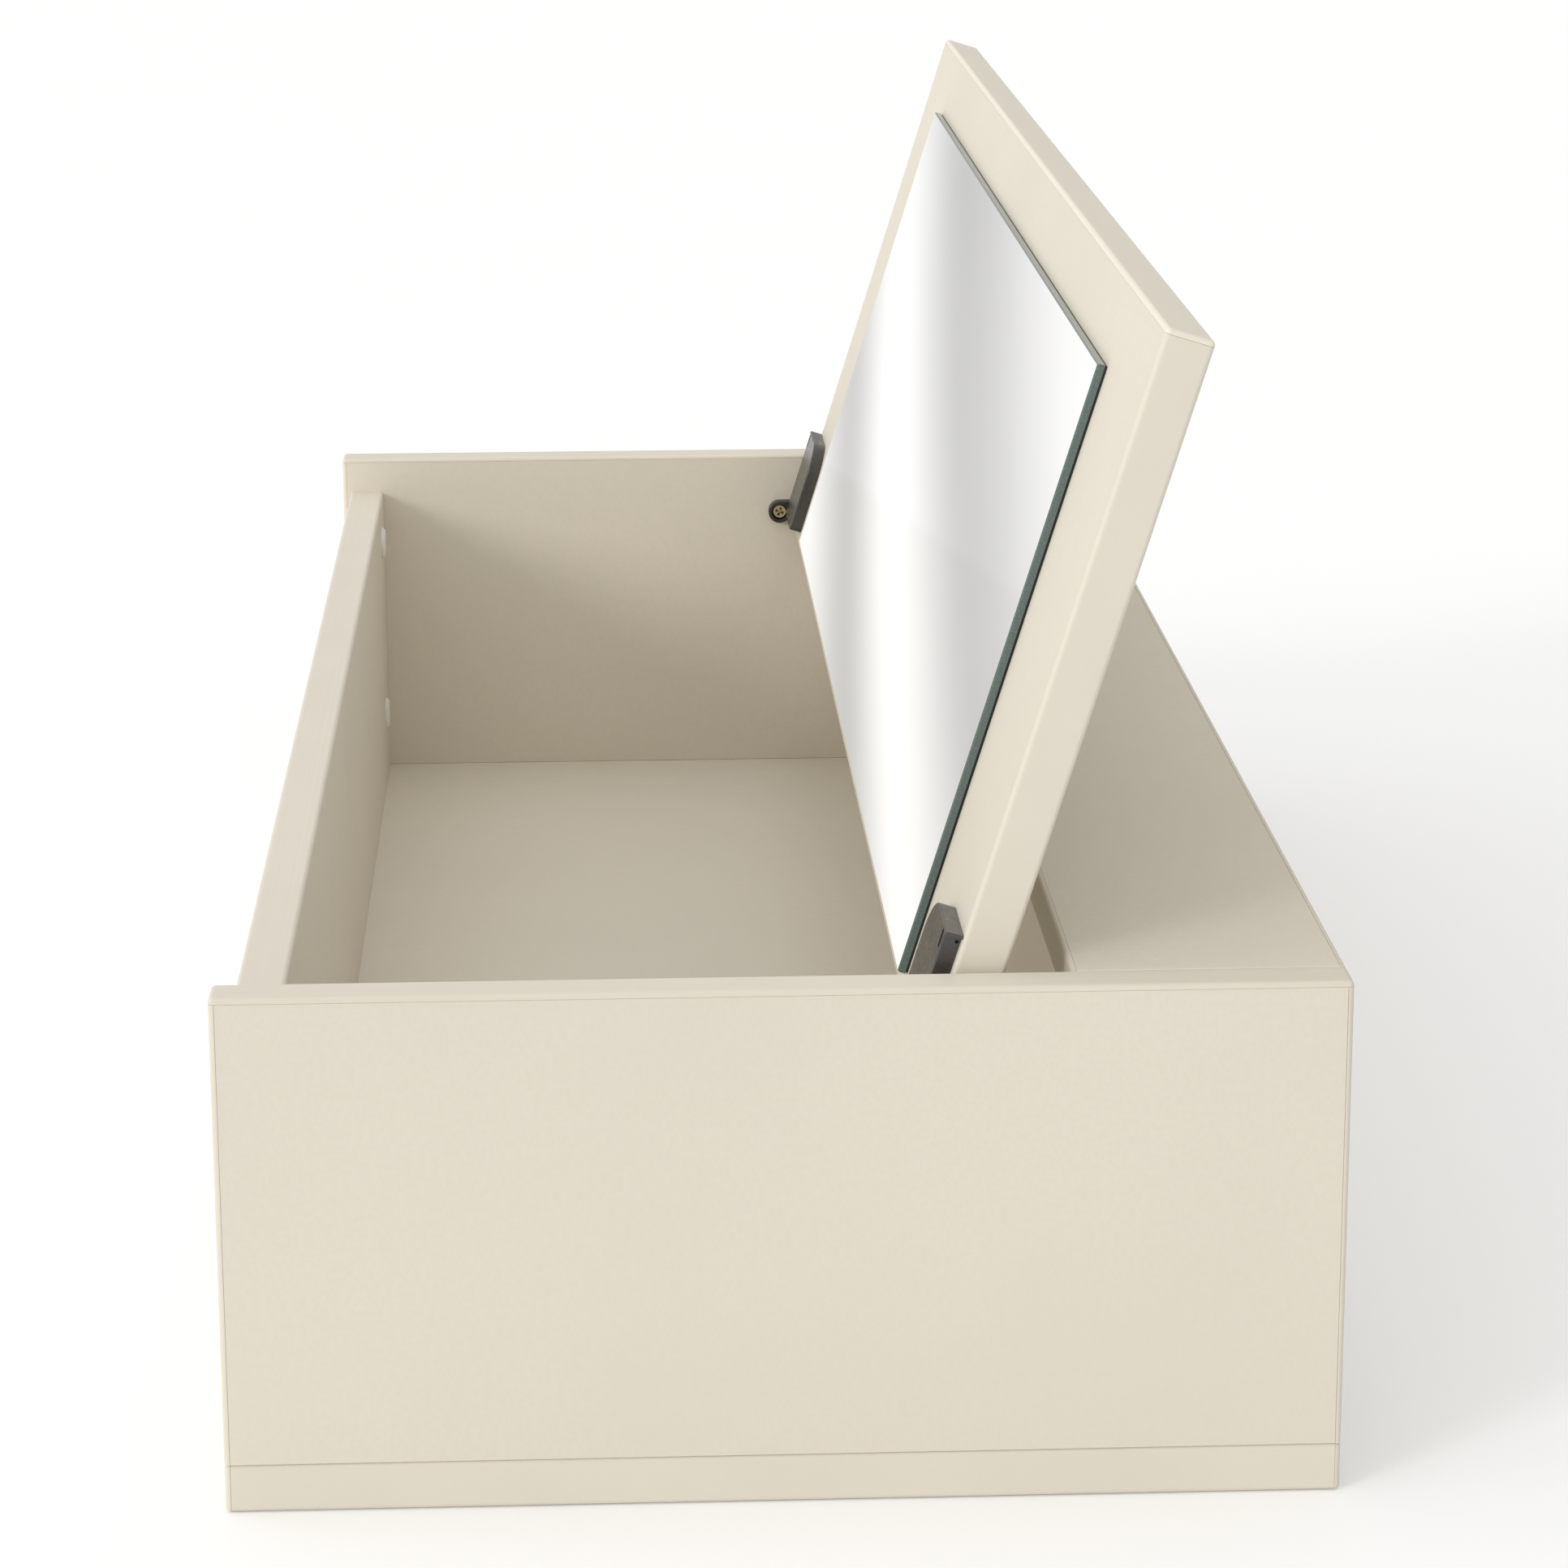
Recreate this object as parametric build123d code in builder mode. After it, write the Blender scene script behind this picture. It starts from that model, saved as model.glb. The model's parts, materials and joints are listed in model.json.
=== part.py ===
from build123d import *
import os
from math import cos, radians, sin, tan

# Wall-hung vanity table: a shallow box with a flip-up lid that carries a mirror on its underside.
# Millimetres. The origin is at the middle of the underside. +X runs along the width, -Y is the
# front, +Y is the wall and +Z is up. The lid is drawn open, leaning back on its hinges' stops.

os.makedirs("parts", exist_ok=True)

# ---- driving dimensions ----
WIDTH = 1000.0
DEPTH = 400.0
BODY_HEIGHT = 192.0
BOARD = 18.0
EDGE = 2.0
EDGE_ROUND = 1.8
GROOVE = 0.3
STRIP_GAP = 0.1
FIT = 0.1

# boards between the sides
FRONT_SETBACK = 4.0
FRONT_TOP = BODY_HEIGHT - BOARD - 0.5
REAR_TOP_DEPTH = 98.0

# lid and mirror, measured along the lid from its hinge edge
LID_LENGTH = 280.0
LID_SIDE_GAP = 2.5
LID_OPENING = 107.4
MIRROR_WIDTH = 772.0
MIRROR_HEIGHT = 240.0
MIRROR_START = 9.0
GLASS = 3.0
TAPE = 1.0
TAPE_INSET = 0.4
GLASS_ARRIS = 0.6

# lid pivot, in the cabinet and in the lid
PIVOT_Y = 66.0
PIVOT_Z = 182.0
PIVOT_ALONG = 33.0
PIVOT_DEEP = 8.0
PIN_R = 3.0
PIN_CLEARANCE = 0.06
PIN_GRIP = 0.03
BUSH_R = 5.0
BOSS_R = 6.0
BOSS_DEEP = 11.0

# hinge: body let into the lid, cover over it, bracket on the side panel
POCKET_IN = 37.5
POCKET_OUT = 7.5
POCKET_ALONG = (20.0, 46.0)
POCKET_DEEP = 14.5
PLATE = 2.5
COVER_OUT = 1.5
COVER_IN = 51.5
COVER_START = 6.0
COVER_END = 53.5
COVER_THICK = 6.5
COVER_WALL = 1.5
COVER_ROUND = 16.0
COVER_FOOT = 3.0
LEDGE_DEEP = 3.0
LEDGE_THICK = 1.4
SIGHT_R = 0.7
SIGHT_BELOW_LEDGE = 2.0
SIGHT_OUT = 1.3
SLOT_FROM_EDGE = 7.0
SLOT_BELOW_END = 1.0
SLOT_LONG = 7.3
SLOT_WIDE = 3.6
SLOT_DEEP = 0.9
BRACKET_THICK = 6.0
WEB = 1.6
EYE_Y = 41.0
EYE_Z = 160.7
EYE_R = 6.1
EAR_Y = 112.0
EAR_Z = 162.0
STOP_CLEARANCE = 0.4
BRACKET_SCREW_R = 1.75
BRACKET_SCREW_DEEP = 14.0
BRACKET_HEAD_R = 3.9
HINGE_SCREW_R = 1.6
HINGE_SCREW_LONG = 14.0
HINGE_HEAD_R = 3.2
HINGE_HEAD_THICK = 1.6
HINGE_SCREWS = [(42.0, 37.0), (39.0, 15.0), (14.0, 15.0)]

# joinery
CAM_R = 7.5
CAM_DEEP = 12.5
CAM_FROM_SIDE = 34.0
CAM_CAP_R = 8.5
CAM_CAP_THICK = 2.0
CAM_HEIGHTS = (56.0, 152.0)
CAM_BOLT_R = 3.5
CAM_BOLT_IN_SIDE = 11.0
DOWEL_R = 4.0
DOWEL_LONG = 30.0
DOWEL_IN_SIDE = 10.0
SCREW_R = 3.2
SCREW_LONG = 50.0
SCREW_HEAD_R = 5.0
WALL_HOLE_R = 3.25
WALL_HOLE_X = 400.0
WALL_HOLE_ZS = (50.0, 146.0)

# ---- worked out ----
HALF_W = WIDTH / 2
HALF_D = DEPTH / 2
INNER_X = HALF_W - BOARD
LID_HALF = INNER_X - LID_SIDE_GAP
FRONT_INNER = -HALF_D + FRONT_SETBACK + BOARD
FRONT_MID = FRONT_INNER - BOARD / 2
BACK_INNER = HALF_D - BOARD
BACK_MID = HALF_D - BOARD / 2
REAR_TOP_FRONT = HALF_D - REAR_TOP_DEPTH
TOP_UNDER = BODY_HEIGHT - BOARD
TOP_MID = BODY_HEIGHT - BOARD / 2
STRIP_REACH = HALF_D - EDGE - STRIP_GAP
SIDE_STRIP_TOP = BODY_HEIGHT - EDGE - STRIP_GAP
LEAN = LID_OPENING - 90.0
UP = Vector(0, sin(radians(LEAN)), cos(radians(LEAN)))
REARWARD = Vector(0, cos(radians(LEAN)), -sin(radians(LEAN)))
PIVOT = Vector(0, PIVOT_Y, PIVOT_Z)
LID_CORNER = PIVOT - UP * PIVOT_ALONG - REARWARD * PIVOT_DEEP

# the lid's own plane: x along the width, y up along the lid, z out of its mirror side
LID_PLANE = Plane(origin=LID_CORNER, x_dir=(1, 0, 0), z_dir=-REARWARD)
ON_BASE = (Align.CENTER, Align.CENTER, Align.MIN)
SIDES = (-1, 1)
SIDE_NAMES = {-1: "left", 1: "right"}


def side_plane(x):
    """A plane across the width at x, with its own x along +Y and its own y along +Z."""
    return Plane(origin=(x, 0, 0), x_dir=(0, 1, 0), z_dir=(1, 0, 0))


def block(lower, upper, mode=Mode.ADD):
    """A box between two corners, on the active part."""
    size = [high - low for low, high in zip(lower, upper)]
    middle = [(high + low) / 2 for low, high in zip(lower, upper)]
    with Locations(tuple(middle)):
        Box(*size, mode=mode)


def rod(start, direction, length, radius, mode=Mode.ADD):
    """A round bar from start along direction, on the active part."""
    with Locations(Plane(origin=start, z_dir=direction)):
        Cylinder(radius, length, align=ON_BASE, mode=mode)


def cone(start, direction, length, radius, end_radius, mode=Mode.ADD):
    """A round taper from start along direction, on the active part."""
    with Locations(Plane(origin=start, z_dir=direction)):
        Cone(radius, end_radius, length, align=ON_BASE, mode=mode)


def finish(builder, name):
    """Label a finished piece and write it."""
    builder.part.label = name
    export_step(builder.part, f"parts/{name}.step")


def round_rims(*outer_planes):
    """Round the edges where two outer faces of an edged board meet, given the planes of those faces."""
    def on_rim(edge):
        middle = edge.center()
        return sum(abs((middle - plane.origin).dot(plane.z_dir)) < 0.01 for plane in outer_planes) >= 2

    fillet(edges().filter_by(on_rim), radius=EDGE_ROUND)


def break_edges(normal):
    """Take a fine chamfer off the rims of a board's two large faces, the hairline groove at its joints."""
    large = faces().filter_by(Axis((0, 0, 0), normal))
    chamfer(large.edges(), length=GROOVE)


def lid_point(x, along, out):
    """A point given across the width, up along the lid, and out of its mirror side."""
    return LID_CORNER + Vector(x, 0, 0) + UP * along - REARWARD * out


# ---- places of the joinery ----
def cam_places():
    """Each cam lock: its centre on the board's hidden face, the way into the board, and its side."""
    places = []
    for side in SIDES:
        x = side * (INNER_X - CAM_FROM_SIDE)
        for height in CAM_HEIGHTS:
            places.append((Vector(x, FRONT_INNER, height), Vector(0, -1, 0), side))
        places.append((Vector(x, (REAR_TOP_FRONT + HALF_D) / 2, TOP_UNDER), Vector(0, 0, 1), side))
    return places


def dowel_places():
    """Each dowel: its start, its direction and the length that sits in the first board."""
    places = []
    for side in SIDES:
        start_x = side * (INNER_X + DOWEL_IN_SIDE)
        inward = Vector(-side, 0, 0)
        places.append((Vector(start_x, FRONT_MID, 104.0), inward))
        for height in (60.0, 130.0):
            places.append((Vector(start_x, BACK_MID, height), inward))
        for y in (125.0, 180.0):
            places.append((Vector(start_x, y, TOP_MID), inward))
    for x in (-300.0, 0.0, 300.0):
        places.append((Vector(x, BACK_MID, TOP_UNDER + 12.0), Vector(0, 0, -1)))
    return places


def floor_screw_places():
    """Each assembly screw that comes up through the bottom panel."""
    places = [(side * (INNER_X + BOARD / 2), y) for side in SIDES for y in (-150.0, 0.0, 150.0)]
    places += [(x, y) for y in (FRONT_MID, BACK_MID) for x in (-300.0, 0.0, 300.0)]
    return places


def cut_cams():
    """Bores for the cam locks and their bolts, cut from the active part."""
    for centre, inward, side in cam_places():
        rod(centre, inward, CAM_DEEP + FIT, CAM_R + FIT, Mode.SUBTRACT)
        middle = centre + inward * (BOARD / 2)
        start = Vector(side * (INNER_X + CAM_BOLT_IN_SIDE + FIT), middle.Y, middle.Z)
        rod(start, (-side, 0, 0), CAM_BOLT_IN_SIDE + FIT + CAM_FROM_SIDE, CAM_BOLT_R + FIT, Mode.SUBTRACT)


def cut_dowels():
    """Holes for the dowels, cut from the active part."""
    for start, direction in dowel_places():
        rod(start - direction * FIT, direction, DOWEL_LONG + 2 * FIT, DOWEL_R + FIT, Mode.SUBTRACT)


def cut_floor_screws():
    """Holes for the assembly screws, cut from the active part."""
    for x, y in floor_screw_places():
        rod((x, y, -FIT), (0, 0, 1), SCREW_LONG + 2 * FIT, SCREW_R + FIT, Mode.SUBTRACT)
        cone((x, y, -FIT), (0, 0, 1), SCREW_HEAD_R - SCREW_R + 2 * FIT, SCREW_HEAD_R + 2 * FIT,
             SCREW_R + FIT, Mode.SUBTRACT)


# ---- cabinet boards ----
with BuildPart() as bottom_panel:
    block((-HALF_W + EDGE, -HALF_D + EDGE, 0), (HALF_W - EDGE, HALF_D - EDGE, BOARD))
    break_edges((0, 0, 1))
    cut_floor_screws()
finish(bottom_panel, "bottom_panel")

with BuildPart() as bottom_edging:
    for sign in SIDES:
        low_y, high_y = sorted((sign * HALF_D, sign * (HALF_D - EDGE)))
        block((-HALF_W, low_y, 0), (HALF_W, high_y, BOARD))
        low_x, high_x = sorted((sign * HALF_W, sign * (HALF_W - EDGE)))
        block((low_x, -STRIP_REACH, 0), (high_x, STRIP_REACH, BOARD))
    round_rims(Plane.YZ.offset(HALF_W), Plane.YZ.offset(-HALF_W), Plane.XZ.offset(HALF_D),
               Plane.XZ.offset(-HALF_D), Plane.XY, Plane.XY.offset(BOARD))
finish(bottom_edging, "bottom_edging")

for side in SIDES:
    outer = side * HALF_W
    inner = side * INNER_X
    low_x, high_x = sorted((outer, inner))

    with BuildPart() as side_panel:
        block((low_x, -HALF_D + EDGE, BOARD), (high_x, HALF_D - EDGE, BODY_HEIGHT - EDGE))
        break_edges((1, 0, 0))
        cut_cams()
        cut_dowels()
        cut_floor_screws()
        rod((inner, PIVOT_Y, PIVOT_Z), (side, 0, 0), BOSS_DEEP + FIT, BOSS_R + FIT, Mode.SUBTRACT)
        for y, z in ((EYE_Y, EYE_Z), (EAR_Y, EAR_Z)):
            rod((inner, y, z), (side, 0, 0), BRACKET_SCREW_DEEP - WEB, BRACKET_SCREW_R + FIT, Mode.SUBTRACT)
    finish(side_panel, f"side_panel_{SIDE_NAMES[side]}")

    with BuildPart() as side_edging:
        block((low_x, -HALF_D, BODY_HEIGHT - EDGE), (high_x, HALF_D, BODY_HEIGHT))
        block((low_x, -HALF_D, BOARD), (high_x, -HALF_D + EDGE, SIDE_STRIP_TOP))
        block((low_x, HALF_D - EDGE, BOARD), (high_x, HALF_D, SIDE_STRIP_TOP))
        round_rims(Plane.YZ.offset(low_x), Plane.YZ.offset(high_x), Plane.XZ.offset(HALF_D),
                   Plane.XZ.offset(-HALF_D), Plane.XY.offset(BODY_HEIGHT))
    finish(side_edging, f"side_edging_{SIDE_NAMES[side]}")

with BuildPart() as front_panel:
    block((-INNER_X, FRONT_INNER - BOARD, BOARD), (INNER_X, FRONT_INNER, FRONT_TOP - EDGE))
    break_edges((0, 1, 0))
    cut_cams()
    cut_dowels()
    cut_floor_screws()
finish(front_panel, "front_panel")

with BuildPart() as front_edging:
    block((-INNER_X, FRONT_INNER - BOARD, FRONT_TOP - EDGE), (INNER_X, FRONT_INNER, FRONT_TOP))
    round_rims(Plane.XZ.offset(BOARD - FRONT_INNER), Plane.XZ.offset(-FRONT_INNER),
               Plane.XY.offset(FRONT_TOP))
finish(front_edging, "front_edging")

with BuildPart() as rear_top_panel:
    block((-INNER_X, REAR_TOP_FRONT + EDGE, TOP_UNDER), (INNER_X, HALF_D - EDGE, BODY_HEIGHT))
    break_edges((0, 0, 1))
    cut_cams()
    cut_dowels()
finish(rear_top_panel, "rear_top_panel")

with BuildPart() as rear_top_edging:
    block((-INNER_X, REAR_TOP_FRONT, TOP_UNDER), (INNER_X, REAR_TOP_FRONT + EDGE, BODY_HEIGHT))
    block((-INNER_X, HALF_D - EDGE, TOP_UNDER), (INNER_X, HALF_D, BODY_HEIGHT))
    round_rims(Plane.XZ.offset(-REAR_TOP_FRONT), Plane.XZ.offset(-HALF_D), Plane.XY.offset(TOP_UNDER),
               Plane.XY.offset(BODY_HEIGHT))
finish(rear_top_edging, "rear_top_edging")

with BuildPart() as back_panel:
    block((-INNER_X, BACK_INNER, BOARD), (INNER_X, HALF_D, TOP_UNDER))
    break_edges((0, 1, 0))
    cut_dowels()
    cut_floor_screws()
    for side in SIDES:
        for height in WALL_HOLE_ZS:
            rod((side * WALL_HOLE_X, BACK_INNER, height), (0, 1, 0), BOARD, WALL_HOLE_R, Mode.SUBTRACT)
finish(back_panel, "back_panel")

# ---- joinery ----
CAM_RECESS_R = 4.0
CAM_RECESS_DEEP = 2.0
with BuildPart() as cam_locks:
    for centre, inward, side in cam_places():
        rod(centre, inward, CAM_DEEP, CAM_R)
        rod(centre, inward, CAM_RECESS_DEEP, CAM_RECESS_R, Mode.SUBTRACT)
        middle = centre + inward * (BOARD / 2)
        rod(middle, (side, 0, 0), CAM_R + 1, CAM_BOLT_R + FIT, Mode.SUBTRACT)
finish(cam_locks, "cam_locks")

CAM_HEAD_LONG = 3.0
CAM_NECK_LONG = 4.0
CAM_NECK_R = 2.0
with BuildPart() as cam_bolts:
    for centre, inward, side in cam_places():
        middle = centre + inward * (BOARD / 2)
        tip = Vector(side * (INNER_X + CAM_BOLT_IN_SIDE), middle.Y, middle.Z)
        head = CAM_BOLT_IN_SIDE + CAM_FROM_SIDE - 1.0
        shank = head - CAM_HEAD_LONG - CAM_NECK_LONG
        rod(tip, (-side, 0, 0), shank, CAM_BOLT_R - 0.5)
        rod(tip + Vector(-side * shank, 0, 0), (-side, 0, 0), CAM_NECK_LONG, CAM_NECK_R)
        rod(tip + Vector(-side * (shank + CAM_NECK_LONG), 0, 0), (-side, 0, 0), CAM_HEAD_LONG, CAM_BOLT_R)
finish(cam_bolts, "cam_bolts")

CAP_SPIGOT_DEEP = 1.6
CAP_RIM = CAM_CAP_THICK * 0.4
with BuildPart() as cam_caps:
    for centre, inward, side in cam_places():
        rod(centre, -inward, CAP_RIM, CAM_CAP_R)
        cone(centre - inward * CAP_RIM, -inward, CAM_CAP_THICK - CAP_RIM, CAM_CAP_R, CAM_CAP_R - 1.4)
        rod(centre, inward, CAP_SPIGOT_DEEP, CAM_RECESS_R - FIT)
finish(cam_caps, "cam_caps")

with BuildPart() as dowels:
    for start, direction in dowel_places():
        rod(start, direction, DOWEL_LONG, DOWEL_R)
    chamfer(edges().filter_by(GeomType.CIRCLE), length=0.8)
finish(dowels, "wooden_dowels")

DRIVE_R = 2.3
DRIVE_DEEP = 2.5
with BuildPart() as assembly_screws:
    for x, y in floor_screw_places():
        rod((x, y, 0), (0, 0, 1), SCREW_LONG, SCREW_R)
        cone((x, y, 0), (0, 0, 1), SCREW_HEAD_R - SCREW_R, SCREW_HEAD_R, SCREW_R)
        with BuildSketch(Plane.XY):
            with Locations((x, y)):
                RegularPolygon(DRIVE_R, 6)
        extrude(amount=DRIVE_DEEP, mode=Mode.SUBTRACT)
finish(assembly_screws, "assembly_screws")

# ---- hinges ----
def lid_face_y(height, clearance):
    """Where the open lid's mirror side is at a height, less a clearance in front of it."""
    lean = radians(LEAN)
    return LID_CORNER.Y + (height - LID_CORNER.Z) * tan(lean) - clearance / cos(lean)


BLOCK_TOP = EYE_Z + EYE_R
BLOCK_LOW = EYE_Z - 4.5
WEB_BOSS_R = 7.5
WEB_RISE_Y = EYE_Y + 11.0
EAR_R = 7.0
for side in SIDES:
    inner = side * INNER_X
    with BuildPart() as hinge_bracket:
        # the thick end: a round eye that runs back to the slanting stop for the open lid
        with BuildSketch(side_plane(inner)):
            with Locations((EYE_Y, EYE_Z)):
                Circle(EYE_R)
            with BuildLine():
                Polyline((EYE_Y, BLOCK_LOW), (lid_face_y(BLOCK_LOW, STOP_CLEARANCE), BLOCK_LOW),
                         (lid_face_y(BLOCK_TOP, STOP_CLEARANCE), BLOCK_TOP), (EYE_Y, BLOCK_TOP), close=True)
            make_face()
        extrude(amount=-side * BRACKET_THICK)
        fillet(faces().sort_by(Axis.X)[0 if side > 0 else -1].edges(), radius=0.6)
        # the thin web that passes beside the lid's end, up to the pivot and back to the rear ear
        with BuildSketch(side_plane(inner)):
            with BuildLine():
                Polyline((EYE_Y + 4, BLOCK_LOW), (EAR_Y, EAR_Z - EAR_R), (EAR_Y, EAR_Z + EAR_R),
                         (PIVOT_Y + 4, PIVOT_Z + 6), (PIVOT_Y - 5.5, PIVOT_Z + 5), (WEB_RISE_Y, BLOCK_TOP),
                         (EYE_Y + 4, BLOCK_TOP), close=True)
            make_face()
            with Locations((PIVOT_Y, PIVOT_Z)):
                Circle(WEB_BOSS_R)
            with Locations((EAR_Y, EAR_Z)):
                Circle(EAR_R)
        extrude(amount=-side * WEB)
        # the round boss behind the web, let into the side panel
        rod((inner, PIVOT_Y, PIVOT_Z), (side, 0, 0), BOSS_DEEP, BOSS_R)
        # holes: the pivot pin, and two screws, the front one in a counterbore
        rod((inner - side * 2 * WEB, PIVOT_Y, PIVOT_Z), (side, 0, 0), 2 * WEB + BOSS_DEEP - 1,
            PIN_R + PIN_GRIP, Mode.SUBTRACT)
        for y, z in ((EYE_Y, EYE_Z), (EAR_Y, EAR_Z)):
            rod((inner - side * BRACKET_THICK, y, z), (side, 0, 0), BRACKET_THICK, BRACKET_SCREW_R + FIT,
                Mode.SUBTRACT)
        rod((inner - side * BRACKET_THICK, EYE_Y, EYE_Z), (side, 0, 0), BRACKET_THICK - WEB,
            BRACKET_HEAD_R + 0.4, Mode.SUBTRACT)
    finish(hinge_bracket, f"hinge_bracket_{SIDE_NAMES[side]}")

SCREW_HEAD_THICK = 2.2
CROSS_LONG = 4.8
CROSS_WIDE = 1.4
CROSS_DEEP = 1.4
CROSS_TURN = -20.0
with BuildPart() as bracket_screws:
    for side in SIDES:
        for y, z in ((EYE_Y, EYE_Z), (EAR_Y, EAR_Z)):
            seat = Vector(side * (INNER_X - WEB), y, z)
            outward = Vector(-side, 0, 0)
            rod(seat, -outward, BRACKET_SCREW_DEEP - 1, BRACKET_SCREW_R)
            rod(seat, outward, SCREW_HEAD_THICK * 0.5, BRACKET_HEAD_R)
            cone(seat + outward * (SCREW_HEAD_THICK * 0.5), outward, SCREW_HEAD_THICK * 0.5,
                 BRACKET_HEAD_R, BRACKET_HEAD_R - 0.4)
            with BuildSketch(side_plane(side * (INNER_X - WEB - SCREW_HEAD_THICK))):
                with Locations(Location((y, z), CROSS_TURN)):
                    Rectangle(CROSS_LONG, CROSS_WIDE)
                    Rectangle(CROSS_WIDE, CROSS_LONG)
            extrude(amount=side * CROSS_DEEP, mode=Mode.SUBTRACT)
finish(bracket_screws, "bracket_screws")

PIN_END = LID_HALF - 30.0
CAVITY_OUT = COVER_OUT + LEDGE_DEEP + COVER_WALL
CAVITY_IN = COVER_IN - COVER_WALL
CAVITY_WIDE = CAVITY_IN - CAVITY_OUT
CAVITY_FROM_END = (CAVITY_OUT + CAVITY_IN) / 2
CAVITY_LONG = COVER_END - COVER_START - 2 * COVER_WALL - 2
CAVITY_ALONG = (COVER_START + COVER_END) / 2
CAVITY_ROUND = 9.5
for side in SIDES:
    with BuildPart() as pivot_pin:
        start = INNER_X + BOSS_DEEP - 1.0
        rod((side * start, PIVOT_Y, PIVOT_Z), (-side, 0, 0), start - PIN_END, PIN_R)
        chamfer(edges().filter_by(GeomType.CIRCLE), length=0.5)
    finish(pivot_pin, f"pivot_pin_{SIDE_NAMES[side]}")

    with BuildPart() as pivot_bush:
        length = POCKET_OUT - 0.2
        rod((side * LID_HALF, PIVOT_Y, PIVOT_Z), (-side, 0, 0), length, BUSH_R)
        rod((side * LID_HALF, PIVOT_Y, PIVOT_Z), (-side, 0, 0), length, PIN_R + PIN_CLEARANCE, Mode.SUBTRACT)
    finish(pivot_bush, f"pivot_bush_{SIDE_NAMES[side]}")

    # the hinge's moulded body: a barrel block in the lid's pocket under a thin screwed plate
    with BuildPart() as hinge_body:
        x_in = LID_HALF - POCKET_IN + 0.2
        x_out = LID_HALF - POCKET_OUT - 0.2
        with BuildSketch(LID_PLANE.offset(-POCKET_DEEP + 0.3)):
            with Locations((side * (x_in + x_out) / 2, (POCKET_ALONG[0] + POCKET_ALONG[1]) / 2)):
                RectangleRounded(x_out - x_in, POCKET_ALONG[1] - POCKET_ALONG[0] - 0.4, 2.0)
        extrude(amount=POCKET_DEEP - 0.3)
        with BuildSketch(LID_PLANE):
            with Locations((side * (LID_HALF - CAVITY_FROM_END), CAVITY_ALONG)):
                RectangleRounded(CAVITY_WIDE - 1, CAVITY_LONG - 1, CAVITY_ROUND - 0.5)
        extrude(amount=PLATE)
        rod((side * (LID_HALF - POCKET_OUT), PIVOT_Y, PIVOT_Z), (-side, 0, 0), 25.0, PIN_R + PIN_CLEARANCE,
            Mode.SUBTRACT)
        for from_end, along in HINGE_SCREWS:
            rod(lid_point(side * (LID_HALF - from_end), along, PLATE), REARWARD, PLATE, HINGE_SCREW_R + FIT,
                Mode.SUBTRACT)
    finish(hinge_body, f"hinge_body_{SIDE_NAMES[side]}")

    # the cover: a hollow cap, square at its outer corner, with a large round inner corner
    with BuildPart() as hinge_cover:
        x_out = side * (LID_HALF - COVER_OUT)
        x_wall = x_out - side * LEDGE_DEEP
        x_in = side * (LID_HALF - COVER_IN)
        with BuildSketch(LID_PLANE):
            with BuildLine():
                Polyline((x_wall - side * COVER_FOOT, COVER_START), (x_in + side * COVER_FOOT, COVER_START))
                RadiusArc((x_in + side * COVER_FOOT, COVER_START), (x_in, COVER_START + COVER_FOOT),
                          side * COVER_FOOT)
                Line((x_in, COVER_START + COVER_FOOT), (x_in, COVER_END - COVER_ROUND))
                RadiusArc((x_in, COVER_END - COVER_ROUND), (x_in + side * COVER_ROUND, COVER_END),
                          side * COVER_ROUND)
                # the outer wall stands back below a ledge, which leaves room for the bracket
                Polyline((x_in + side * COVER_ROUND, COVER_END), (x_out, COVER_END),
                         (x_out, COVER_END - LEDGE_THICK), (x_wall, COVER_END - LEDGE_THICK),
                         (x_wall, COVER_START + COVER_FOOT))
                RadiusArc((x_wall, COVER_START + COVER_FOOT), (x_wall - side * COVER_FOOT, COVER_START),
                          side * COVER_FOOT)
            make_face()
        extrude(amount=COVER_THICK)
        fillet(faces().sort_by(Axis(LID_CORNER, -REARWARD))[-1].edges(), radius=0.6)
        # hollow for the plate and its screws
        with BuildSketch(LID_PLANE):
            with Locations((side * (LID_HALF - CAVITY_FROM_END), CAVITY_ALONG)):
                RectangleRounded(CAVITY_WIDE, CAVITY_LONG, CAVITY_ROUND)
        extrude(amount=COVER_THICK - COVER_WALL, mode=Mode.SUBTRACT)
        # a small round sight hole in the outer wall, under the ledge
        sight_along = COVER_END - LEDGE_THICK - SIGHT_BELOW_LEDGE
        rod(lid_point(x_wall, sight_along, SIGHT_OUT), (-side, 0, 0), COVER_WALL + 1, SIGHT_R, Mode.SUBTRACT)
        # the release slot in the face, near the outer edge
        with BuildSketch(LID_PLANE.offset(COVER_THICK)):
            with Locations((x_out - side * SLOT_FROM_EDGE, COVER_END - SLOT_BELOW_END - SLOT_LONG / 2)):
                SlotOverall(SLOT_LONG, SLOT_WIDE, rotation=90)
        extrude(amount=-SLOT_DEEP, mode=Mode.SUBTRACT)
    finish(hinge_cover, f"hinge_cover_{SIDE_NAMES[side]}")

with BuildPart() as hinge_screws:
    for side in SIDES:
        for from_end, along in HINGE_SCREWS:
            seat = lid_point(side * (LID_HALF - from_end), along, PLATE)
            rod(seat, REARWARD, HINGE_SCREW_LONG, HINGE_SCREW_R)
            rod(seat, -REARWARD, HINGE_HEAD_THICK, HINGE_HEAD_R)
finish(hinge_screws, "hinge_screws")

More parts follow.
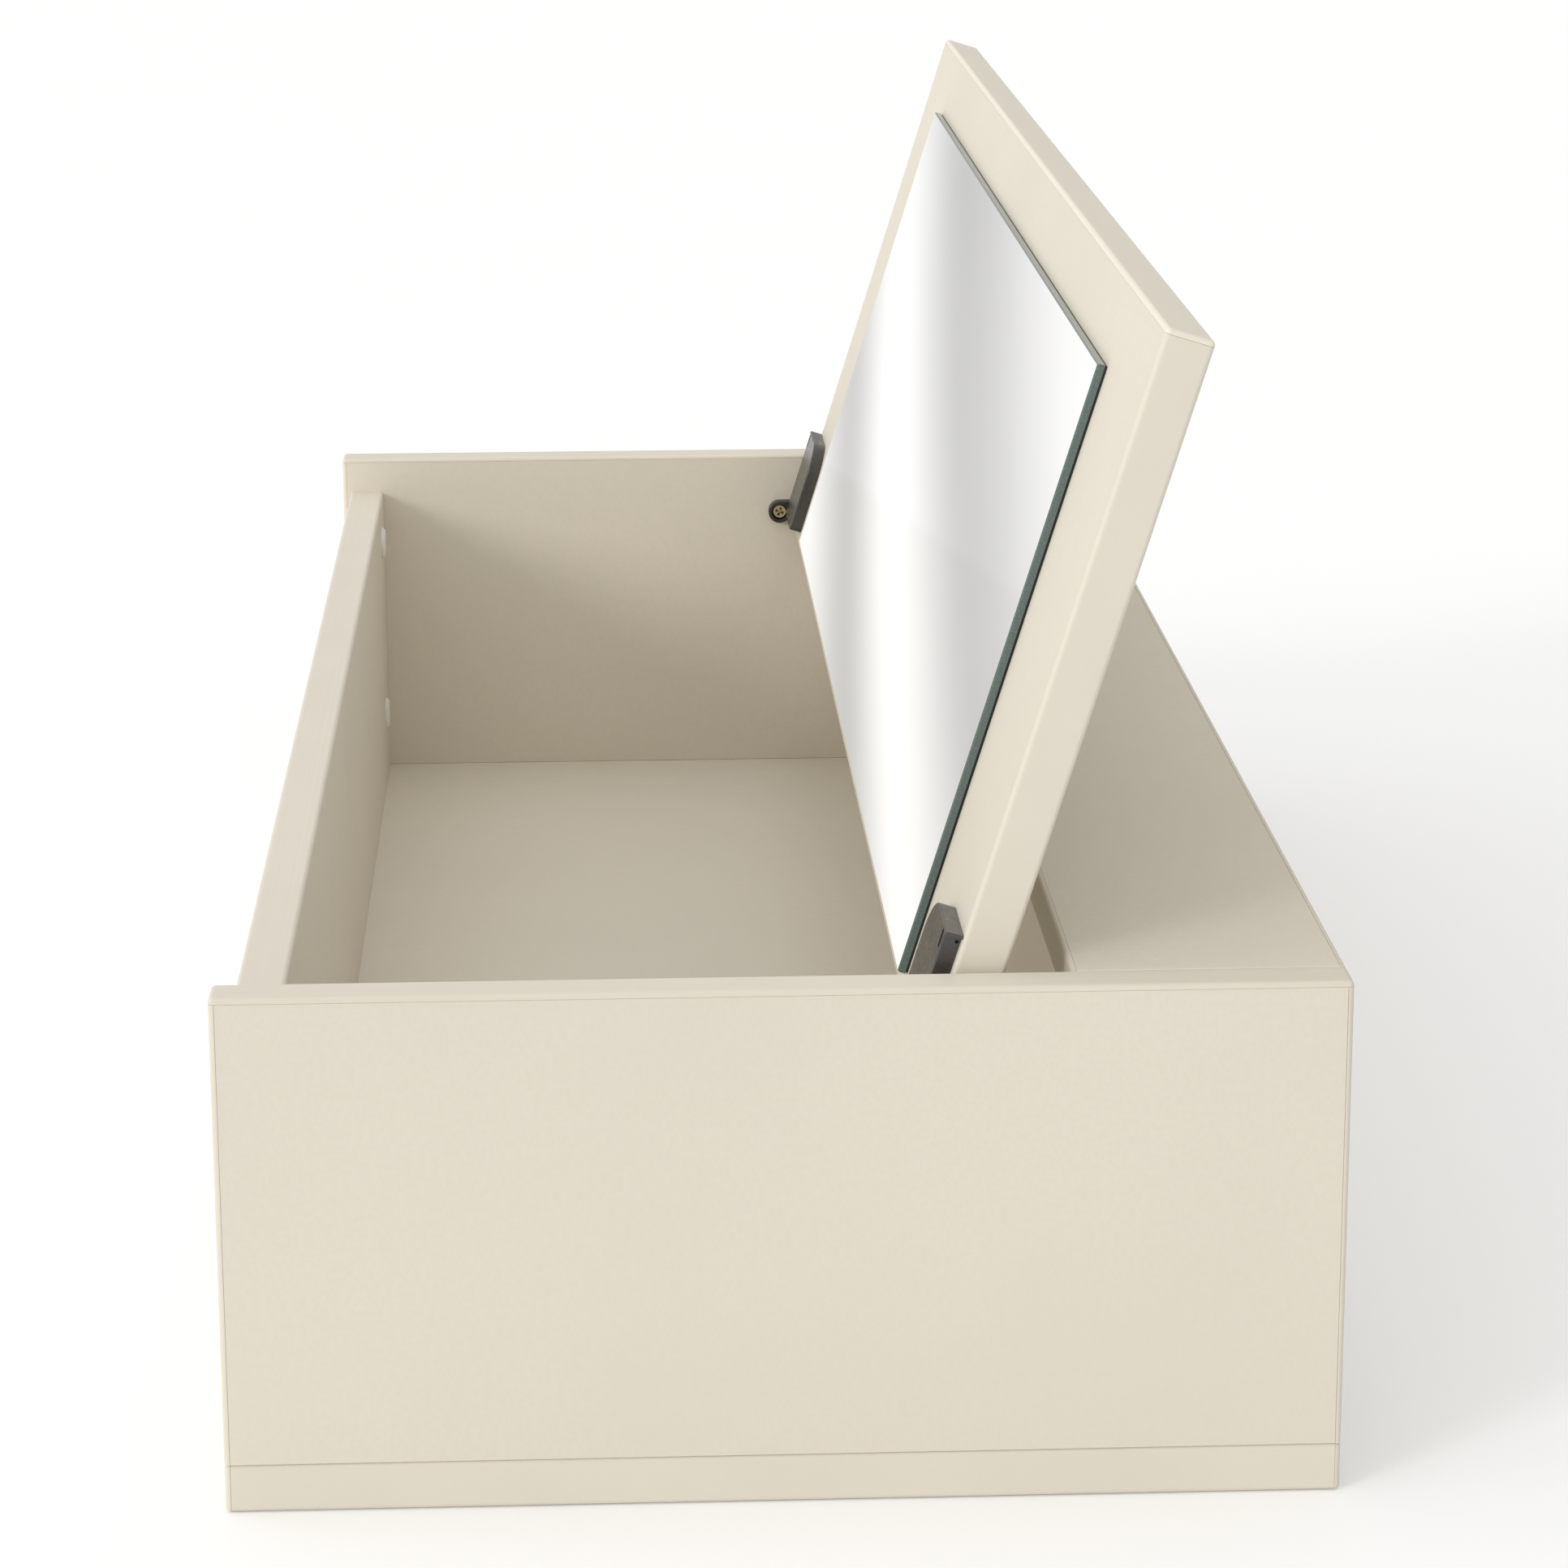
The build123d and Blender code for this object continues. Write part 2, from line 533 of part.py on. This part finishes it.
# ---- lid and mirror ----
with BuildPart() as lid_panel:
    with BuildSketch(LID_PLANE):
        with Locations((0, LID_LENGTH / 2)):
            Rectangle(2 * (LID_HALF - EDGE), LID_LENGTH - 2 * EDGE)
    extrude(amount=-BOARD)
    break_edges(REARWARD)
    for side in SIDES:
        with BuildSketch(LID_PLANE):
            with Locations((side * (LID_HALF - (POCKET_IN + POCKET_OUT) / 2), sum(POCKET_ALONG) / 2)):
                RectangleRounded(POCKET_IN - POCKET_OUT, POCKET_ALONG[1] - POCKET_ALONG[0], 2.2)
        extrude(amount=-POCKET_DEEP, mode=Mode.SUBTRACT)
        rod((side * LID_HALF, PIVOT_Y, PIVOT_Z), (-side, 0, 0), POCKET_OUT + 1, BUSH_R + FIT / 2,
            Mode.SUBTRACT)
        for from_end, along in HINGE_SCREWS:
            rod(lid_point(side * (LID_HALF - from_end), along, 0), REARWARD, HINGE_SCREW_LONG - PLATE + FIT,
                HINGE_SCREW_R + FIT, Mode.SUBTRACT)
finish(lid_panel, "lid_panel")

with BuildPart() as lid_edging:
    for sign in SIDES:
        with BuildSketch(LID_PLANE):
            with Locations((0, LID_LENGTH / 2 + sign * (LID_LENGTH - EDGE) / 2)):
                Rectangle(2 * LID_HALF, EDGE)
        extrude(amount=-BOARD)
        with BuildSketch(LID_PLANE):
            with Locations((sign * (LID_HALF - EDGE / 2), LID_LENGTH / 2)):
                Rectangle(EDGE, LID_LENGTH - 2 * (EDGE + STRIP_GAP))
        extrude(amount=-BOARD)
    round_rims(Plane.YZ.offset(LID_HALF), Plane.YZ.offset(-LID_HALF), Plane(LID_CORNER, z_dir=UP),
               Plane(LID_CORNER + UP * LID_LENGTH, z_dir=UP), LID_PLANE, LID_PLANE.offset(-BOARD))
    for sign in SIDES:
        rod((sign * (LID_HALF + 1), PIVOT_Y, PIVOT_Z), (-sign, 0, 0), 2 * EDGE + 1, BUSH_R + FIT / 2,
            Mode.SUBTRACT)
finish(lid_edging, "lid_edging")

MIRROR_MIDDLE = MIRROR_START + MIRROR_HEIGHT / 2
with BuildPart() as mirror_tape:
    with BuildSketch(LID_PLANE):
        with Locations((0, MIRROR_MIDDLE)):
            Rectangle(MIRROR_WIDTH - 2 * TAPE_INSET, MIRROR_HEIGHT - 2 * TAPE_INSET)
    extrude(amount=TAPE)
finish(mirror_tape, "mirror_tape")

with BuildPart() as mirror_glass:
    with BuildSketch(LID_PLANE.offset(TAPE)):
        with Locations((0, MIRROR_MIDDLE)):
            Rectangle(MIRROR_WIDTH, MIRROR_HEIGHT)
    extrude(amount=GLASS)
    chamfer(edges().group_by(Axis(LID_CORNER, -REARWARD))[-1], length=GLASS_ARRIS)
finish(mirror_glass, "mirror_glass")
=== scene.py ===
import json
from math import cos, radians, sin

import bmesh
import bpy
from mathutils import Matrix, Vector


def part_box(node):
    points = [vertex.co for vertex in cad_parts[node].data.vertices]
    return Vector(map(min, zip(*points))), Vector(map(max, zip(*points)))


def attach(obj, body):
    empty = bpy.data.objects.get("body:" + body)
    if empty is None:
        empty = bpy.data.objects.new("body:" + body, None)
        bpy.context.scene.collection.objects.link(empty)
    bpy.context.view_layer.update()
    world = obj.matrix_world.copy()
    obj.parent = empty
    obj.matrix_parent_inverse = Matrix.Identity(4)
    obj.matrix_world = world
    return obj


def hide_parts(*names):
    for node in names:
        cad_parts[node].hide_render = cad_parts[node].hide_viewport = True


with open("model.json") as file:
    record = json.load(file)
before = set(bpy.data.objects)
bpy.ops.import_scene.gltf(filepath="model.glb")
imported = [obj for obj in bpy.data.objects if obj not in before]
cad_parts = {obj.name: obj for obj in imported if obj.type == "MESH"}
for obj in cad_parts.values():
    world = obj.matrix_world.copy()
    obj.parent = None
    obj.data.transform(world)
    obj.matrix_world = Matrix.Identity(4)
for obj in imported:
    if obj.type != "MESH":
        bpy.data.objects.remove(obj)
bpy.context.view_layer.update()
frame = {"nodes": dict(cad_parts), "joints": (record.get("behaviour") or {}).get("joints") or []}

MM = 0.001

# the open lid: how far it leans back, and the directions up along it and out of its mirror side
LEAN = radians(frame["joints"][0]["range_deg"][1] - 90.0)
UP = Vector((0, sin(LEAN), cos(LEAN)))
FACING = Vector((0, -cos(LEAN), sin(LEAN)))
BOARD = 18.0 * MM


# ---- camera, light and floor ----
LENS = 106.0
CAMERA_PLACE = (2.032, -0.067, 0.677)
PAN = radians(2.51)
TILT = radians(-14.99)
ROLL = radians(-0.16)
FAR_CLIP = 60.0

# the surround's strength: a part that is the same all round, and how much more comes from two sides
EVEN_LIGHT = 0.47
TOP_BIAS = 0.65
FRONT_BIAS = 0.33

FLOOR_SIZE = 30.0
FLOOR_DROP = 0.4 * MM


def aim(obj, target, roll=0.0):
    """Turn an object so that its -Z axis looks at a point."""
    towards = Vector(target) - obj.location
    turn = towards.to_track_quat("-Z", "Y").to_matrix() @ Matrix.Rotation(roll, 3, "Z")
    obj.rotation_euler = turn.to_euler()


def add_camera():
    """A long lens beside and a little above the right-hand end of the cabinet."""
    data = bpy.data.cameras.new("camera")
    data.lens = LENS
    data.clip_end = FAR_CLIP
    camera = bpy.data.objects.new("camera", data)
    camera.location = CAMERA_PLACE
    view = Vector((-cos(TILT) * cos(PAN), cos(TILT) * sin(PAN), sin(TILT)))
    aim(camera, camera.location + view, roll=ROLL)
    bpy.context.scene.collection.objects.link(camera)
    bpy.context.scene.camera = camera


def add_sun(name, towards, strength, spread, color):
    """One distant soft light that shines along a direction and spreads over an angle."""
    data = bpy.data.lights.new(name, "SUN")
    data.energy = strength
    data.angle = radians(spread)
    data.color = color
    light = bpy.data.objects.new(name, data)
    aim(light, towards)
    bpy.context.scene.collection.objects.link(light)


def add_surround():
    """White light from all round, more of it from above and less from behind, where a wall would be."""
    world = bpy.data.worlds.new("surround")
    world.use_nodes = True
    nodes, links = world.node_tree.nodes, world.node_tree.links
    lean = nodes.new("ShaderNodeVectorMath")
    lean.operation = "DOT_PRODUCT"
    lean.inputs[1].default_value = (0, -FRONT_BIAS, TOP_BIAS)
    links.new(nodes.new("ShaderNodeTexCoord").outputs["Generated"], lean.inputs[0])
    level = nodes.new("ShaderNodeMath")
    level.inputs[1].default_value = EVEN_LIGHT
    links.new(lean.outputs["Value"], level.inputs[0])
    nodes["Background"].inputs["Color"].default_value = (1, 1, 1, 1)
    links.new(level.outputs["Value"], nodes["Background"].inputs["Strength"])
    bpy.context.scene.world = world


def add_stage():
    """A pale floor that runs out of view, and one soft low light from the front."""
    bpy.ops.mesh.primitive_plane_add(size=FLOOR_SIZE, location=(0, 0, -FLOOR_DROP))
    floor = bpy.context.object
    floor.name = "floor"
    floor.data.materials.append(floor_paint())
    add_surround()
    add_sun("window", towards=(-0.6, 0.7, -0.3), strength=0.85, spread=18.0, color=(1.0, 0.995, 0.98))
    bpy.context.scene.view_settings.view_transform = "Standard"


# ---- materials ----
NOISE_ROUGHNESS = 0.55
MOST_NOISE = (0.3, 0.7)
MID_NOISE = (0.35, 0.65)
WHOLE = (0.0, 1.0)

# how well a rounded normal agrees with the true one, on a flat face and on an edge that is worn and painted
# with a highlight
FLAT_TO_EDGE = (0.995, 0.8)
BEVEL_SAMPLES = 6


def tint(color, factor):
    """The same colour, darker or paler."""
    return tuple(channel * factor for channel in color)


class Paint:
    """A material under construction: its nodes, its shader and its object-space coordinates."""

    def __init__(self, name, color, roughness, metallic=0.0):
        self.material = bpy.data.materials.new(name)
        self.material.use_nodes = True
        self.nodes = self.material.node_tree.nodes
        self.links = self.material.node_tree.links
        self.shader = self.nodes["Principled BSDF"]
        self.shader.inputs["Base Color"].default_value = (*color, 1)
        self.shader.inputs["Roughness"].default_value = roughness
        self.shader.inputs["Metallic"].default_value = metallic
        self.place = self.nodes.new("ShaderNodeTexCoord").outputs["Object"]

    def set(self, **values):
        """Set the shader's own sockets, named with underscores for spaces."""
        for name, value in values.items():
            self.shader.inputs[name.replace("_", " ")].default_value = value

    def stretched(self, scale):
        """Object-space coordinates, in metres, scaled differently along X, Y and Z."""
        node = self.nodes.new("ShaderNodeMapping")
        node.inputs["Scale"].default_value = scale
        self.links.new(self.place, node.inputs["Vector"])
        return node.outputs["Vector"]

    def noise(self, scale, detail=3.0, coords=None):
        """Soft noise about 0.5, with a number of lumps to the metre unless the coordinates are stretched."""
        node = self.nodes.new("ShaderNodeTexNoise")
        node.inputs["Scale"].default_value = scale
        node.inputs["Detail"].default_value = detail
        node.inputs["Roughness"].default_value = NOISE_ROUGHNESS
        self.links.new(coords or self.place, node.inputs["Vector"])
        return node.outputs["Fac"]

    def cells(self, scale, coords=None):
        """Distance to the middle of the nearest of many scattered cells."""
        node = self.nodes.new("ShaderNodeTexVoronoi")
        node.inputs["Scale"].default_value = scale
        self.links.new(coords or self.place, node.inputs["Vector"])
        return node.outputs["Distance"]

    def span(self, value, source, target):
        """Map a value from one span to another, clamped."""
        node = self.nodes.new("ShaderNodeMapRange")
        for name, number in zip(("From Min", "From Max", "To Min", "To Max"), source + target):
            node.inputs[name].default_value = number
        self.links.new(value, node.inputs["Value"])
        return node.outputs["Result"]

    def ramp(self, value, stops):
        """Grey levels that ease from stop to stop, the first at 0 and the last at 1."""
        node = self.nodes.new("ShaderNodeValToRGB")
        node.color_ramp.interpolation = "EASE"
        first, last = node.color_ramp.elements
        first.color = (stops[0][1],) * 3 + (1,)
        last.color = (stops[-1][1],) * 3 + (1,)
        for position, grey in stops[1:-1]:
            node.color_ramp.elements.new(position).color = (grey, grey, grey, 1)
        self.links.new(value, node.inputs["Fac"])
        return node.outputs["Color"]

    def math(self, operation, first, second):
        """Arithmetic on two values, each a socket or a number."""
        node = self.nodes.new("ShaderNodeMath")
        node.operation = operation
        for socket, value in zip(node.inputs, (first, second)):
            if isinstance(value, float):
                socket.default_value = value
            else:
                self.links.new(value, socket)
        return node.outputs["Value"]

    def mix(self, amount, first, second):
        """Blend two colours, each a socket or three numbers."""
        node = self.nodes.new("ShaderNodeMix")
        node.data_type = "RGBA"
        self.links.new(amount, node.inputs["Factor"])
        for socket, value in ((node.inputs[6], first), (node.inputs[7], second)):
            if isinstance(value, tuple):
                socket.default_value = (*value, 1)
            else:
                self.links.new(value, socket)
        return node.outputs[2]

    def edges(self, radius):
        """0 on flat faces, rising to 1 on the corners within a radius."""
        bevel = self.nodes.new("ShaderNodeBevel")
        bevel.samples = BEVEL_SAMPLES
        bevel.inputs["Radius"].default_value = radius
        normal = self.nodes.new("ShaderNodeNewGeometry").outputs["Normal"]
        dot = self.nodes.new("ShaderNodeVectorMath")
        dot.operation = "DOT_PRODUCT"
        self.links.new(bevel.outputs["Normal"], dot.inputs[0])
        self.links.new(normal, dot.inputs[1])
        return self.span(dot.outputs["Value"], FLAT_TO_EDGE, WHOLE)

    def openness(self, reach):
        """1 in the open, less where other surfaces are within reach."""
        node = self.nodes.new("ShaderNodeAmbientOcclusion")
        node.inputs["Distance"].default_value = reach
        return node.outputs["AO"]

    def on_lid_top(self):
        """1 on the strip along the open lid's top edge, 0 on the strips below it."""
        dot = self.nodes.new("ShaderNodeVectorMath")
        dot.operation = "DOT_PRODUCT"
        dot.inputs[1].default_value = UP
        self.links.new(self.place, dot.inputs[0])
        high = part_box("lid_panel")[1]
        top = UP.y * (high.y - BOARD * cos(LEAN)) + UP.z * high.z
        return self.span(dot.outputs["Value"], (top, top + 0.2 * MM), WHOLE)

    def color(self, socket):
        self.links.new(socket, self.shader.inputs["Base Color"])

    def roughness(self, socket):
        self.links.new(socket, self.shader.inputs["Roughness"])

    def clouded(self, clouds, color, dark, light):
        """A colour that drifts between two tints of itself."""
        return self.mix(self.span(clouds, MOST_NOISE, WHOLE), tint(color, dark), tint(color, light))

    def rub_and_highlight(self, tone, radius, amount, pale):
        """Colour the surface with a tone that turns paler along the edges, for wear and a painted highlight.
        """
        self.color(self.mix(self.math("MULTIPLY", self.edges(radius), amount), tone, pale))

    def polish(self, noise, smooth, rough):
        """Let the roughness wander between two values."""
        self.roughness(self.span(noise, MOST_NOISE, (smooth, rough)))

    def bump(self, height, distance, strength):
        node = self.nodes.new("ShaderNodeBump")
        node.inputs["Distance"].default_value = distance
        node.inputs["Strength"].default_value = strength
        self.links.new(height, node.inputs["Height"])
        self.links.new(node.outputs["Normal"], self.shader.inputs["Normal"])


CREAM = (0.735, 0.68, 0.575)

# the mirror's painted sheen, a painted reflection: grey levels along the bands, and how a point of the glass
# finds its place along them, from its X, its rise above the middle, the two multiplied (which fans the bands)
# and a start
BANDS = [(0.0, 0.97), (0.187, 0.57), (0.353, 0.97), (0.603, 0.57), (1.0, 0.97)]
BANDS_PER_X = 0.565
BANDS_PER_RISE = 2.46
BANDS_FAN = 1.21
BANDS_START = 0.45


def laminate(name):
    """Matte melamine board face: faint clouding, a fine pearled texture, and edges a little paler from wear
    and a painted highlight.
    """
    paint = Paint(name, CREAM, 0.56)
    clouds = paint.noise(5.0, detail=4.0)
    flecks = paint.noise(420.0, detail=2.0)
    tone = paint.clouded(clouds, CREAM, dark=0.975, light=1.02)
    tone = paint.mix(paint.span(flecks, (0.42, 0.58), (0.0, 0.35)), tone, tint(CREAM, 0.955))
    # wear and painted highlight: the edges are painted paler
    paint.rub_and_highlight(tone, radius=0.5 * MM, amount=0.35, pale=tint(CREAM, 1.1))
    paint.polish(paint.noise(60.0), smooth=0.52, rough=0.6)
    pearls = paint.math("ADD", paint.cells(1100.0), paint.math("MULTIPLY", flecks, 0.8))
    paint.bump(pearls, distance=0.03 * MM, strength=0.55)
    paint.set(Specular_IOR_Level=0.2)
    return paint.material


def edge_strip(name, along, top_painted_light=None):
    """Satin ABS edge strip: fine lines along its axis, corners paler from wear and a painted highlight, and,
    on the lid, a top painted paler as painted light.
    """
    paint = Paint(name, CREAM, 0.42)
    stretch = [4.0 if axis == along else 2400.0 for axis in range(3)]
    lines = paint.noise(1.0, detail=2.0, coords=paint.stretched(stretch))
    tone = paint.clouded(paint.noise(14.0), CREAM, dark=0.98, light=1.02)
    tone = paint.mix(paint.span(lines, MID_NOISE, (0.0, 0.3)), tone, tint(CREAM, 0.94))
    # painted light: on the lid, the top edge strip is painted paler, standing in for light from above
    if top_painted_light:
        tone = paint.mix(paint.on_lid_top(), tone, tint(CREAM, top_painted_light))
    # wear and painted highlight: the edges are painted paler
    paint.rub_and_highlight(tone, radius=0.5 * MM, amount=0.3, pale=tint(CREAM, 1.1))
    paint.polish(lines, smooth=0.36, rough=0.5)
    paint.bump(lines, distance=0.02 * MM, strength=0.4)
    paint.set(Specular_IOR_Level=0.15)
    return paint.material


def moulded(name, color, roughness, grain=1800.0, depth=0.04 * MM, shine=0.5):
    """Spark-eroded moulded plastic: fine even grain, slight clouding, and edges paler from polish and a
    painted highlight.
    """
    paint = Paint(name, color, roughness)
    grains = paint.cells(grain)
    tone = paint.clouded(paint.noise(70.0, detail=4.0), color, dark=0.88, light=1.1)
    # wear and painted highlight: the edges are painted paler
    paint.rub_and_highlight(tone, radius=0.4 * MM, amount=0.6, pale=tint(color, 1.5))
    paint.polish(paint.noise(300.0), smooth=roughness - 0.06, rough=roughness + 0.06)
    paint.bump(grains, depth, strength=0.7)
    paint.set(Specular_IOR_Level=shine)
    return paint.material


def plated(name, color, other, roughness):
    """Plated metal: a colour that drifts, painted shade in recesses, fine tumbled scratches, and edges bright
    from wear and a painted highlight.
    """
    paint = Paint(name, color, roughness, metallic=1.0)
    drift = paint.noise(260.0)
    openness = paint.openness(1.5 * MM)
    scratches = paint.noise(1.0, detail=2.0, coords=paint.stretched((900.0, 5200.0, 900.0)))
    tone = paint.mix(paint.span(drift, MID_NOISE, WHOLE), color, other)
    # wear and painted highlight: the edges are painted brighter
    tone = paint.mix(paint.edges(0.3 * MM), tone, tint(color, 1.25))
    # painted shade: recesses darken towards near-black where the ambient occlusion falls
    paint.color(paint.mix(paint.span(openness, (0.5, 0.95), (0.95, 0.0)), tone, tint(color, 0.12)))
    paint.polish(scratches, smooth=roughness - 0.08, rough=roughness + 0.12)
    paint.bump(scratches, distance=0.02 * MM, strength=0.4)
    return paint.material


def timber(name, color):
    """Turned beech: short dark flecks and fine grain along X."""
    paint = Paint(name, color, 0.6)
    grain = paint.noise(1.0, detail=4.0, coords=paint.stretched((60.0, 1400.0, 1400.0)))
    flecks = paint.cells(1.0, coords=paint.stretched((350.0, 1800.0, 1800.0)))
    tone = paint.clouded(grain, color, dark=0.8, light=1.08)
    paint.color(paint.mix(paint.span(flecks, (0.0, 0.25), (0.5, 0.0)), tone, tint(color, 0.55)))
    paint.bump(grain, distance=0.06 * MM, strength=0.6)
    return paint.material


def foam(name):
    """Black foam adhesive: small open cells, matte."""
    paint = Paint(name, (0.012, 0.012, 0.013), 0.9)
    cells = paint.cells(2600.0)
    paint.color(paint.mix(paint.span(cells, (0.0, 0.6), WHOLE), (0.006, 0.006, 0.006), (0.03, 0.03, 0.032)))
    paint.bump(cells, distance=0.15 * MM, strength=0.8)
    return paint.material


def silvering(name):
    """Mirror glass from the front: white, with broad soft bands of painted grey sheen, a painted glow and a
    faint real reflection.
    """
    paint = Paint(name, (0.93, 0.935, 0.935), 0.05, metallic=0.08)
    axes = paint.nodes.new("ShaderNodeSeparateXYZ")
    paint.links.new(paint.place, axes.inputs["Vector"])
    across = axes.outputs["X"]
    low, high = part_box("mirror_tape")
    rise = paint.math("SUBTRACT", axes.outputs["Z"], (low.z + high.z) / 2)
    slant = paint.math("ADD", paint.math("MULTIPLY", across, BANDS_PER_X),
                       paint.math("MULTIPLY", rise, BANDS_PER_RISE))
    fan = paint.math("MULTIPLY", paint.math("MULTIPLY", across, rise), BANDS_FAN)
    sweep = paint.math("ADD", paint.math("ADD", slant, fan), BANDS_START)
    # painted reflection: the sheen dims towards the top of the glass
    fade = paint.span(rise, (-0.1, 0.11), (1.0, 0.8))
    tone = paint.math("MULTIPLY", paint.ramp(sweep, BANDS), fade)
    paint.color(tone)
    # painted light: the glass glows faintly in its band tone, keeping its lower part pale where the box would
    # shade it
    paint.links.new(tone, paint.shader.inputs["Emission Color"])
    paint.set(Emission_Strength=0.14, Specular_IOR_Level=0.0)
    paint.polish(paint.noise(9.0), smooth=0.03, rough=0.07)
    return paint.material


def glass_edge(name):
    """The ground edge of float glass: dark sea green with fine streaks, under a thin gloss."""
    paint = Paint(name, (0.1, 0.145, 0.135), 0.22)
    streaks = paint.noise(2600.0, detail=2.0)
    streaky = paint.span(streaks, MOST_NOISE, WHOLE)
    paint.color(paint.mix(streaky, (0.085, 0.125, 0.117), (0.112, 0.158, 0.148)))
    paint.polish(streaks, smooth=0.18, rough=0.34)
    paint.bump(streaks, distance=0.02 * MM, strength=0.4)
    paint.set(Coat_Weight=0.5, Coat_Roughness=0.1)
    return paint.material


def floor_paint():
    """Pale matte studio floor with a faint glow of its own, to keep it pale far away."""
    paint = Paint("floor_paint", (0.92, 0.92, 0.92), 0.8)
    paint.color(paint.mix(paint.noise(1.3), (0.915, 0.915, 0.912), (0.93, 0.93, 0.928)))
    paint.bump(paint.noise(300.0), distance=0.05 * MM, strength=0.3)
    paint.set(Emission_Color=(1, 1, 1, 1), Emission_Strength=0.1)
    return paint.material


def dress(material, *names):
    """Give CAD nodes a material."""
    for name in names:
        slots = frame["nodes"][name].data.materials
        slots.clear()
        slots.append(material)


BOARDS = ["bottom_panel", "side_panel_left", "side_panel_right", "front_panel", "rear_top_panel",
          "back_panel", "lid_panel"]
# the axis that each board's strips are lined along
STRIPS = {"bottom_edging": 0, "side_edging_left": 1, "side_edging_right": 1, "front_edging": 0,
          "rear_top_edging": 0, "lid_edging": 0}
# painted light: how much paler the strip along the open lid's top edge is painted, standing in for light from
# above
LID_TOP_PAINTED_LIGHT = 1.14
COVER_BLACK = (0.038, 0.035, 0.033)
BRACKET_BLACK = (0.03, 0.029, 0.029)


def dress_all():
    """Give every CAD node its material, apart from the glass, which is rebuilt."""
    dress(laminate("cream_laminate"), *BOARDS)
    for name, along in STRIPS.items():
        dress(edge_strip(f"{name}_abs", along, LID_TOP_PAINTED_LIGHT if name == "lid_edging" else None), name)
    dress(moulded("black_cover_plastic", COVER_BLACK, 0.3, depth=0.02 * MM, shine=0.85),
          "hinge_cover_left", "hinge_cover_right", "hinge_body_left", "hinge_body_right")
    dress(moulded("black_bracket_coat", BRACKET_BLACK, 0.4, grain=2600.0, depth=0.03 * MM),
          "hinge_bracket_left", "hinge_bracket_right")
    dress(plated("yellow_zinc", (0.68, 0.62, 0.38), (0.72, 0.6, 0.46), 0.3), "bracket_screws", "hinge_screws")
    dress(plated("bright_zinc", (0.62, 0.63, 0.65), (0.55, 0.57, 0.6), 0.28), "pivot_pin_left",
          "pivot_pin_right", "cam_bolts", "assembly_screws")
    dress(plated("die_cast", (0.5, 0.5, 0.51), (0.44, 0.44, 0.46), 0.45), "cam_locks")
    dress(moulded("white_cap_plastic", (0.8, 0.785, 0.75), 0.35, grain=2200.0, depth=0.02 * MM), "cam_caps")
    dress(moulded("nylon", (0.78, 0.77, 0.73), 0.4), "pivot_bush_left", "pivot_bush_right")
    dress(timber("beech", (0.55, 0.38, 0.22)), "wooden_dowels")
    dress(foam("foam_adhesive"), "mirror_tape")


# ---- the mirror ----
GLASS = 3.0 * MM
ARRIS = 0.6 * MM
TAPE = 1.0 * MM
TAPE_INSET = 0.4 * MM


def mirror_plate():
    """Float glass with silvered faces, ground edges and a narrow arris round the front."""
    low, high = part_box("mirror_tape")
    height = ((high.z - low.z) - TAPE * sin(LEAN)) / cos(LEAN)
    foot = Vector((0, low.y, low.z + TAPE * sin(LEAN)))
    half_width = high.x + TAPE_INSET
    rows = []
    for inset, out in ((0.0, 0.0), (0.0, GLASS - ARRIS), (ARRIS, GLASS)):
        across = half_width - inset
        bottom = inset - TAPE_INSET
        top = height + TAPE_INSET - inset
        rows.append([foot + Vector((x, 0, 0)) + UP * along + FACING * out
                     for x, along in ((-across, bottom), (across, bottom), (across, top), (-across, top))])
    mesh = bpy.data.meshes.new("mirror_plate")
    build = bmesh.new()
    rings = [[build.verts.new(point) for point in row] for row in rows]
    build.faces.new(rings[0][::-1])
    for ring, next_ring in zip(rings, rings[1:]):
        for here in range(4):
            there = (here + 1) % 4
            side = build.faces.new((ring[here], ring[there], next_ring[there], next_ring[here]))
            side.material_index = 1
    build.faces.new(rings[-1])
    bmesh.ops.recalc_face_normals(build, faces=build.faces)
    build.to_mesh(mesh)
    build.free()
    mesh.materials.append(silvering("silvered_glass"))
    mesh.materials.append(glass_edge("ground_glass_edge"))
    plate = bpy.data.objects.new("mirror_plate", mesh)
    bpy.context.scene.collection.objects.link(plate)
    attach(plate, "lid")
    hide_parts("mirror_glass")


add_camera()
add_stage()
dress_all()
mirror_plate()
